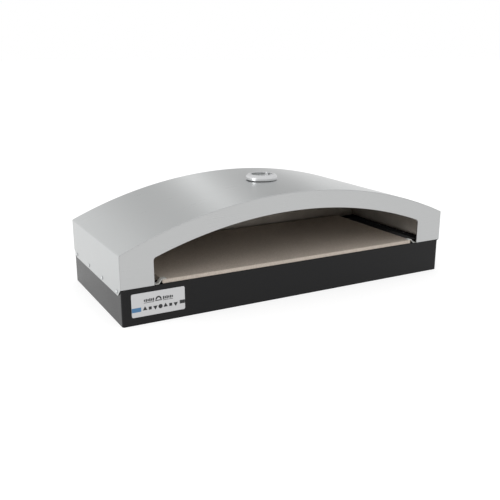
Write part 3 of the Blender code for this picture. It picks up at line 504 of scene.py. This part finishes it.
def slab(name, half_x, half_y, corner, bottom, top, edge):
    """A flat block with round corners and rounded edges: outlines stacked at growing insets."""
    turn = np.linspace(0, np.pi / 2, 6)
    drop, fall = edge * np.cos(turn), edge * np.sin(turn)
    inset = np.concatenate([[edge * 1.6], edge - fall, edge - drop, [edge * 1.6]])
    height = np.concatenate([[bottom], bottom + edge - drop, top - edge + fall, [top]])
    rows = []
    for i, z in zip(inset, height):
        outline = rounded_rectangle(half_x - i, half_y - i, max(corner - i, 0.0002))
        rows.append(np.column_stack([outline, np.full(len(outline), z)]))
    count = len(rows[0])
    index = np.arange(len(rows) * count).reshape(-1, count)
    following = np.roll(index, -1, 1)
    quads = np.stack([index[:-1], following[:-1], following[1:], index[1:]], -1).reshape(-1, 4)
    caps = [index[0].tolist(), index[-1][::-1].tolist()]
    mesh = bpy.data.meshes.new(name)
    mesh.from_pydata(np.concatenate(rows).tolist(), [], quads.tolist() + caps)
    return mesh


stone_centre = (stone_low + stone_high) / 2
stone_half = (stone_high - stone_low) / 2
stone_mesh = slab("pizza_stone_body", stone_half.x, stone_half.y, STONE_CORNER,
                  -stone_half.z, stone_half.z, STONE_EDGE)
stone_mesh.transform(Matrix.Translation(stone_centre))
stone = finish_mesh("pizza_stone_body", stone_mesh, "stone")
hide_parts("pizza_stone")

# Cordierite: matte, warm grey-buff, with grog grains of 1 to 3 mm and a pressed, slightly pitted face.
cordierite, stone_tree, stone_shader = finish("cordierite", "#BDAE9F", 0.92)
stone_shader.inputs["Specular IOR Level"].default_value = 0.25
stone_place = add(stone_tree, "TexCoord").outputs["Object"]
grog = add(stone_tree, "TexNoise", {"Vector": stone_place, "Scale": 420.0, "Detail": 5.0, "Roughness": 0.7})
stains = add(stone_tree, "TexNoise", {"Vector": stone_place, "Scale": 7.0, "Detail": 4.0})
grog_tint = add(stone_tree, "ValToRGB", {"Fac": grog.outputs["Fac"]})
grog_tint.color_ramp.elements[0].position = 0.30
grog_tint.color_ramp.elements[0].color = linear("#A1968B")
grog_tint.color_ramp.elements[1].position = 0.66
grog_tint.color_ramp.elements[1].color = linear("#C5BBB0")
stain_level = add(stone_tree, "MapRange", {
    "Value": stains.outputs["Fac"], "From Min": 0.3, "From Max": 0.7, "To Min": 0.90, "To Max": 1.0})
stone_colour = add(stone_tree, "Mix", {
    "Factor": 1.0, "A": grog_tint.outputs["Color"], "B": stain_level.outputs[0]},
    data_type="RGBA", blend_type="MULTIPLY")
stone_tree.links.new(stone_colour.outputs["Result"], stone_shader.inputs["Base Color"])
pits = add(stone_tree, "Bump", {"Height": grog.outputs["Fac"], "Strength": 0.35, "Distance": 0.0006})
stone_tree.links.new(pits.outputs[0], stone_shader.inputs["Normal"])
stone.data.materials.append(cordierite)


# Clips: Z-shaped springs of 1 mm galvanised sheet, screwed to the sill, whose fingers lie just over the
# stone's front corners so that it can't lift.
CLIP_SHEET = 0.0010
CLIP_CLEARANCE = 0.0010
CLIP_FLAT = 0.0080
bright_steel, steel_tree, steel_shader = finish("zinc_plated_steel", "#C9CBCC", 0.34, 0.8)
steel_place = add(steel_tree, "TexCoord").outputs["Object"]
spangle = add(steel_tree, "TexNoise", {"Vector": steel_place, "Scale": 350.0, "Detail": 3.0})
plating = add(steel_tree, "MapRange", {"Value": spangle.outputs["Fac"], "To Min": 0.26, "To Max": 0.44})
steel_tree.links.new(plating.outputs[0], steel_shader.inputs["Roughness"])

matt_zinc, zinc_tree, zinc_shader = finish("matt_galvanised_sheet", "#D2D2CE", 0.50, 0.35)
zinc_place = add(zinc_tree, "TexCoord").outputs["Object"]
flakes = add(zinc_tree, "TexNoise", {"Vector": zinc_place, "Scale": 420.0, "Detail": 2.0})
zinc_dull = add(zinc_tree, "MapRange", {"Value": flakes.outputs["Fac"], "To Min": 0.42, "To Max": 0.60})
zinc_tree.links.new(zinc_dull.outputs[0], zinc_shader.inputs["Roughness"])


def open_bend(corners, radius, steps=6):
    """A flat path through corners, with each inner corner turned into an arc."""
    closed = rounded_section(corners, [radius] * len(corners), steps, radius * 0.5)
    piece = steps + 3
    return np.vstack([corners[0], closed[piece:-piece], corners[-1]])


for side_name, sign in (("left", -1), ("right", 1)):
    low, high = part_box("stone_clip_" + side_name)
    inner, outer = sorted((abs(low.x), abs(high.x)))
    shoulder = stone_half.x + CLIP_CLEARANCE + CLIP_SHEET / 2
    z_low, z_high = low.z + CLIP_SHEET / 2, high.z - CLIP_SHEET / 2
    corners = np.array(
        [(outer, z_low), (outer - CLIP_FLAT, z_low), (shoulder, z_high), (inner, z_high)])
    path = open_bend(corners, CLIP_SHEET)
    ys = np.array([low.y, low.y + 0.0008, (low.y + high.y) / 2, high.y - 0.0008, high.y])
    grid = np.stack([np.column_stack([sign * path[:, 0], np.full(len(path), y), path[:, 1]]) for y in ys])
    clip = solid("stone_clip_" + side_name + "_skin", grid, loop=False, caps=False)
    gauge_sheet = clip.modifiers.new("sheet", "SOLIDIFY")
    gauge_sheet.thickness = CLIP_SHEET
    gauge_sheet.offset = 0
    gauge_sheet.use_even_offset = True
    clip.data.materials.append(matt_zinc)
    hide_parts("stone_clip_" + side_name)


# Screws: zinc-plated pan heads with a cross recess, four through each skirt into the base's side and
# one through the foot of each clip into the sill.
DOME_ROWS = 18


def pan_head_screw(node, outward):
    """A pan-head screw turned about its axis, in the place of a CAD screw.

    The head is a flattened dome, and the cross is cut where a point lies within half a slot's width
    of either of two crossing lines and within the slot's reach.
    """
    low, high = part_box(node)
    outward = Vector(outward)
    middle = (low + high) / 2
    half = (high - low) / 2
    along_axis = abs(half.dot(outward))
    across = sorted([half.x, half.y, half.z])
    head_radius = across[0] if abs(across[0] - across[1]) < 1e-5 else across[1]
    head_height = head_radius * 0.52
    shank_radius = head_radius * 0.45
    top = along_axis
    r = np.concatenate([np.linspace(0, 1, DOME_ROWS), [1.0, 1.0]]) * head_radius
    across_head = np.linspace(0, 1, DOME_ROWS)
    dome = top - head_height * (0.55 * across_head ** 4) - head_height * 0.10 * across_head ** 2
    z = np.concatenate([dome, [top - head_height * 0.8, top - head_height]])
    r = np.concatenate([r, [shank_radius, shank_radius, 0.0]])
    z = np.concatenate([z, [top - head_height, -along_axis + shank_radius, -along_axis]])
    theta = np.linspace(0, 2 * np.pi, 49)
    x, y = r[:, None] * np.cos(theta), r[:, None] * np.sin(theta)
    slot_half, reach = head_radius * 0.13, head_radius * 0.58
    near = np.minimum(np.abs(x), np.abs(y))
    far = np.maximum(np.abs(x), np.abs(y))
    beside = np.clip((slot_half * 1.5 - near) / (slot_half * 0.8), 0, 1)
    cut = beside * np.clip((reach - far) / (reach * 0.25), 0, 1)
    depth = np.where(np.arange(len(r))[:, None] < DOME_ROWS, cut * head_height * 0.55, 0)
    grid = np.stack([x, y, np.broadcast_to(z[:, None], x.shape) - depth], -1)
    turn = Vector((0, 0, 1)).rotation_difference(outward).to_matrix().to_4x4()
    piece_mesh = bpy.data.meshes.new(node + "_body")
    rows, columns = grid.shape[:2]
    index = np.arange(rows * columns).reshape(rows, columns)
    quads = np.stack([index[:-1, :-1], index[:-1, 1:], index[1:, 1:], index[1:, :-1]], -1).reshape(-1, 4)
    piece_mesh.from_pydata(grid.reshape(-1, 3).tolist(), [], quads.tolist())
    piece_mesh.transform(Matrix.Translation(middle) @ turn)
    screw = finish_mesh(node + "_body", piece_mesh)
    screw.data.materials.append(bright_steel)
    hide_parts(node)


for side_name, sign in (("left", -1), ("right", 1)):
    pan_head_screw("clip_screw_" + side_name, (0, 0, 1))
    for number in range(1, 5):
        pan_head_screw("side_screw_" + side_name + "_" + str(number), (sign, 0, 0))


# Rating plate: thin satin aluminium glued to the front of the base, printed with plain signs: an
# arched mouth between two groups of bars, and a band with a blue tab and a row of simple shapes.
plate_low, plate_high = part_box("rating_plate")
PRINT_HEIGHT = 0.00012
PLATE_CORNER = 0.0040
PLATE_EDGE = 0.0001
plate_centre = (plate_low + plate_high) / 2
plate_half = (plate_high - plate_low) / 2
plate_front = plate_low.y + PRINT_HEIGHT
stand_up = (Matrix.Translation((plate_centre.x, plate_front, plate_centre.z))
            @ Matrix.Rotation(np.pi / 2, 4, "X"))
plate_mesh = slab("rating_plate_body", plate_half.x, plate_half.z, PLATE_CORNER,
                  -(plate_high.y - plate_front), 0.0, PLATE_EDGE)
plate_mesh.transform(stand_up)
plate = finish_mesh("rating_plate_body", plate_mesh)
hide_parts("rating_plate")
satin_aluminium, plate_tree, plate_shader = finish("satin_aluminium", "#C2C2C3", 0.42, 0.55)
plate_place = add(plate_tree, "TexCoord").outputs["Object"]
plate_lines = add(plate_tree, "Mapping", {"Vector": plate_place, "Scale": (30.0, 900.0, 900.0)})
plate_grain = add(plate_tree, "TexNoise", {"Vector": plate_lines.outputs[0], "Scale": 1.0, "Detail": 3.0})
plate_rough = add(plate_tree, "MapRange", {
    "Value": plate_grain.outputs["Fac"], "To Min": 0.34, "To Max": 0.50})
plate_tree.links.new(plate_rough.outputs[0], plate_shader.inputs["Roughness"])
plate.data.materials.append(satin_aluminium)


def printed(name, outlines, place, height, colour, body="oven"):
    """Flat printed shapes: each outline is raised by the print's height and closed below."""
    points, faces = [], []
    for outline in outlines:
        start, count = len(points), len(outline)
        points += [(x, y, height) for x, y in outline] + [(x, y, 0.0) for x, y in outline]
        top = list(range(start, start + count))
        bottom = list(range(start + count, start + 2 * count))
        faces += [top, bottom[::-1]]
        faces += [(top[i - 1], bottom[i - 1], bottom[i], top[i]) for i in range(count)]
    mesh = bpy.data.meshes.new(name)
    mesh.from_pydata(points, [], faces)
    mesh.transform(place)
    piece = finish_mesh(name, mesh, body)
    ink, tree, shader = finish(name + "_ink", colour, 0.5)
    place_in = add(tree, "TexCoord").outputs["Object"]
    wear = add(tree, "TexNoise", {"Vector": place_in, "Scale": 600.0, "Detail": 2.0})
    gloss = add(tree, "MapRange", {"Value": wear.outputs["Fac"], "To Min": 0.40, "To Max": 0.60})
    tree.links.new(gloss.outputs[0], shader.inputs["Roughness"])
    piece.data.materials.append(ink)
    return piece


def bar(x, y, half_x, half_y, lean=0.0):
    """A bar as four points, leaning to the right by a share of its height."""
    return [(x - half_x - lean, y - half_y), (x + half_x - lean, y - half_y),
            (x + half_x + lean, y + half_y), (x - half_x + lean, y + half_y)]


def arch_sign(x, y, size):
    """An arched mouth as a ring with flat feet: outer arc one way and inner arc back."""
    turn = np.linspace(0, np.pi, 13)
    outer = np.column_stack([x + size * np.cos(turn), y + size * 1.1 * np.sin(turn)])
    inner = np.column_stack([x + size * 0.55 * np.cos(turn), y + size * 0.62 * np.sin(turn)])[::-1]
    return np.vstack([outer, inner]).tolist()


def polygon(x, y, size, sides, phase=0.0):
    """A regular polygon of a given radius."""
    turn = np.arange(sides) * 2 * np.pi / sides + phase
    return np.column_stack([x + size * np.cos(turn), y + size * np.sin(turn)]).tolist()


dark_shapes = [arch_sign(0.0, 0.0065, 0.0075), bar(0.0, 0.0046, 0.0080, 0.0010)]
for sign in (-1, 1):
    for place in range(6):
        length = (0.0036, 0.0029, 0.0036, 0.0026, 0.0032, 0.0024)[place]
        dark_shapes.append(bar(sign * (0.0120 + place * 0.0042), 0.0088, 0.0015, length))
    dark_shapes.append(bar(sign * 0.0225, 0.0032, 0.0120, 0.0006))
for place in range(7):
    x = -0.0325 + place * 0.0122
    sides = (3, 4, 3, 24, 3, 4, 3)[place]
    phase = (np.pi / 2, np.pi / 4, -np.pi / 2, 0.0, np.pi / 2, np.pi / 4, -np.pi / 2)[place]
    dark_shapes.append(polygon(x, -0.0105, 0.0062 if sides == 3 else 0.0050, sides, phase))
dark_shapes.append(bar(plate_half.x - 0.0066, -0.0085, 0.0064, 0.0042))
plate_back = stand_up @ Matrix.Translation((0, 0, -0.00005))
printed("plate_print_dark", dark_shapes, plate_back, PRINT_HEIGHT + 0.00003, "#17181A")
blue_shapes = [bar(-plate_half.x + 0.0112, -0.0105, 0.0109, 0.0050)]
printed("plate_print_blue", blue_shapes, plate_back, PRINT_HEIGHT + 0.00003, "#3F6F97")


# Thermometer: a domed chrome bezel over a steel cup, a flat glass, a grey dial with a printed scale
# and a pointer. A stem with a bimetal coil goes down through the roof and the ceiling.
bezel_low, bezel_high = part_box("gauge_bezel")
lens_low, lens_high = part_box("gauge_lens")
dial_low, dial_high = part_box("gauge_dial")
RIM_RADIUS = 0.0300
GLASS_RADIUS = 0.0270
BEZEL_SIDE = 0.0045
skirt_radius = bezel_high.x
lens_radius = lens_high.x


def revolved(name, outline, body="oven", steps=96):
    """A closed ring turned about the thermometer's axis from an outline of radius and height."""
    outline = np.vstack([outline, outline[:1]])
    theta = np.linspace(0, 2 * np.pi, steps + 1)
    grid = np.stack([
        outline[:, :1] * np.cos(theta), outline[:, :1] * np.sin(theta),
        np.broadcast_to(outline[:, 1:], (len(outline), steps + 1))], -1)
    rows, columns = grid.shape[:2]
    index = np.arange(rows * columns).reshape(rows, columns)
    quads = np.stack([index[:-1, :-1], index[:-1, 1:], index[1:, 1:], index[1:, :-1]], -1).reshape(-1, 4)
    mesh = bpy.data.meshes.new(name)
    mesh.from_pydata(grid.reshape(-1, 3).tolist(), [], quads.tolist())
    return finish_mesh(name, mesh, body)


seat = lens_high.z + TOUCH
collar_low = (bezel_low.z + bezel_high.z) / 2
side_top = bezel_low.z + BEZEL_SIDE
bulge_turn = np.linspace(0, np.pi / 2, 16)
shoulder_line = np.column_stack([
    RIM_RADIUS + (skirt_radius - RIM_RADIUS) * np.sin(bulge_turn),
    side_top + (bezel_high.z - side_top) * np.cos(bulge_turn)])
foot_and_rim = rounded_section(
    [(skirt_radius, bezel_low.z + 0.0020), (skirt_radius, bezel_low.z), (skirt_radius - 0.0010, bezel_low.z),
     (lens_radius + 0.0013, collar_low), (lens_radius + 0.0003, collar_low), (lens_radius + 0.0003, seat),
     (GLASS_RADIUS, seat), (GLASS_RADIUS, bezel_high.z), (RIM_RADIUS - 0.0010, bezel_high.z)],
    [0.0001, 0.0003, 0.0003, 0.0003, 0.0002, 0.0002, 0.0003, 0.0007, 0.0001], guard=0.00004)
bezel_outline = np.vstack([shoulder_line, foot_and_rim])
bezel = revolved("gauge_bezel_skin", bezel_outline)
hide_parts("gauge_bezel")
chrome, chrome_tree, chrome_shader = finish("satin_chrome", "#CDCECF", 0.31, 1.0)
chrome_place = add(chrome_tree, "TexCoord").outputs["Object"]
smears = add(chrome_tree, "TexNoise", {"Vector": chrome_place, "Scale": 90.0, "Detail": 3.0})
buff = add(chrome_tree, "MapRange", {"Value": smears.outputs["Fac"], "To Min": 0.26, "To Max": 0.36})
chrome_tree.links.new(buff.outputs[0], chrome_shader.inputs["Roughness"])
bezel.data.materials.append(chrome)

GLASS_EDGE = 0.0002
glass_section = rounded_section(
    [(0.001, lens_high.z), (lens_radius, lens_high.z), (lens_radius, lens_low.z), (0.001, lens_low.z)],
    GLASS_EDGE, guard=0.0001)
glass_rim = glass_section[len(glass_section) // 4:3 * len(glass_section) // 4]
glass_outline = np.vstack([(0.0, lens_high.z), glass_rim, (0.0, lens_low.z)])
lens = revolved("gauge_lens_disc", glass_outline)
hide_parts("gauge_lens")
flat_glass, _, glass_shader = finish("flat_glass", "#F4F7F6", 0.02, 0.0)
glass_shader.inputs["Transmission Weight"].default_value = 1.0
glass_shader.inputs["IOR"].default_value = 1.46
lens.data.materials.append(flat_glass)

dial_outline = rounded_section(
    [(0.0016, dial_high.z), (lens_radius, dial_high.z), (lens_radius, dial_low.z), (0.0016, dial_low.z)],
    0.0001, guard=0.0001)
dial = revolved("gauge_dial_plate", dial_outline)
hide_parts("gauge_dial")
dial_enamel, dial_tree, dial_shader = finish("grey_dial_enamel", "#8E8F91", 0.5)
dial_place = add(dial_tree, "TexCoord").outputs["Object"]
dial_speck = add(dial_tree, "TexNoise", {"Vector": dial_place, "Scale": 900.0, "Detail": 2.0})
dial_sheen = add(dial_tree, "MapRange", {"Value": dial_speck.outputs["Fac"], "To Min": 0.42, "To Max": 0.58})
dial_tree.links.new(dial_sheen.outputs[0], dial_shader.inputs["Roughness"])
dial.data.materials.append(dial_enamel)

# The printed scale: 270 degrees of ticks, clockwise from the cold end, with a numeral at each long one.
SCALE_START = 225.0
SCALE_SWEEP = 270.0
SCALE_STEPS = 28
ticks = []
for step in range(SCALE_STEPS + 1):
    a = np.radians(SCALE_START - SCALE_SWEEP * step / SCALE_STEPS)
    long_tick = step % 4 == 0
    r0, r1, width = (0.0198, 0.0246, 0.00042) if long_tick else (0.0222, 0.0246, 0.00024)
    radial, across = np.array([np.cos(a), np.sin(a)]), np.array([-np.sin(a), np.cos(a)])
    ticks.append([radial * r0 - across * width, radial * r1 - across * width,
                  radial * r1 + across * width, radial * r0 + across * width])
on_dial = Matrix.Translation((0, 0, dial_high.z + 0.00002))
printed("gauge_scale_ticks", ticks, on_dial, 0.00006, "#141416")

NUMERAL_HEIGHT = 0.0042
NUMERAL_RADIUS = 0.0158
numeral_meshes = []
for step in range(8):
    a = np.radians(SCALE_START - SCALE_SWEEP * step / 7)
    writing = bpy.data.curves.new("numeral", "FONT")
    writing.body = str((step + 1) * 50)
    writing.size = NUMERAL_HEIGHT
    writing.align_x = "CENTER"
    writing.align_y = "CENTER"
    writing.extrude = 0.00003
    writing_object = bpy.data.objects.new("numeral", writing)
    bpy.context.scene.collection.objects.link(writing_object)
    bpy.context.view_layer.update()
    depsgraph = bpy.context.evaluated_depsgraph_get()
    flat = bpy.data.meshes.new_from_object(writing_object.evaluated_get(depsgraph))
    place = (NUMERAL_RADIUS * np.cos(a), NUMERAL_RADIUS * np.sin(a), dial_high.z + 0.00006)
    flat.transform(Matrix.Translation(place))
    numeral_meshes.append(flat)
    bpy.data.objects.remove(writing_object)
joined = bmesh.new()
for flat in numeral_meshes:
    joined.from_mesh(flat)
numeral_mesh = bpy.data.meshes.new("gauge_scale_numerals")
joined.to_mesh(numeral_mesh)
joined.free()
numeral_mesh.materials.clear()
numerals = finish_mesh("gauge_scale_numerals", numeral_mesh)
numerals.data.materials.append(bpy.data.materials["gauge_scale_ticks_ink"])

# The pointer and its spindle turn together; a small domed cap covers the hub.
pointer_enamel, pointer_tree, pointer_shader = finish("pointer_enamel", "#E2DED6", 0.4)
pointer_place = add(pointer_tree, "TexCoord").outputs["Object"]
pointer_speck = add(pointer_tree, "TexNoise", {"Vector": pointer_place, "Scale": 700.0})
pointer_sheen = add(pointer_tree, "MapRange", {
    "Value": pointer_speck.outputs["Fac"], "To Min": 0.32, "To Max": 0.48})
pointer_tree.links.new(pointer_sheen.outputs[0], pointer_shader.inputs["Roughness"])
repaint(["gauge_pointer"], pointer_enamel)
pointer_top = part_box("gauge_pointer")[1].z
turn = np.linspace(0, np.pi / 2, 8)
cap_outline = np.vstack([
    np.column_stack([0.0019 * np.sin(turn), pointer_top + 0.0001 + 0.0006 * np.cos(turn)]),
    [(0.0, pointer_top + 0.0001)]])
cap = revolved("gauge_pointer_cap", cap_outline, "pointer", 32)

brass, brass_tree, brass_shader = finish("turned_brass", "#C9A862", 0.30, 1.0)
brass_place = add(brass_tree, "TexCoord").outputs["Object"]
lathe = add(brass_tree, "TexNoise", {"Vector": brass_place, "Scale": 500.0, "Detail": 2.0})
turned_marks = add(brass_tree, "MapRange", {"Value": lathe.outputs["Fac"], "To Min": 0.22, "To Max": 0.40})
brass_tree.links.new(turned_marks.outputs[0], brass_shader.inputs["Roughness"])
cap.data.materials.append(brass)
repaint(["gauge_coil", "gauge_bushing"], brass)
repaint(["gauge_cup", "gauge_stem", "gauge_spindle", "gauge_washer", "gauge_wing_nut"], bright_steel)

silicone, silicone_tree, silicone_shader = finish("black_silicone", "#151515", 0.7)
silicone_place = add(silicone_tree, "TexCoord").outputs["Object"]
bloom = add(silicone_tree, "TexNoise", {"Vector": silicone_place, "Scale": 300.0})
dull = add(silicone_tree, "MapRange", {"Value": bloom.outputs["Fac"], "To Min": 0.60, "To Max": 0.80})
silicone_tree.links.new(dull.outputs[0], silicone_shader.inputs["Roughness"])
repaint(["gauge_gasket"], silicone)
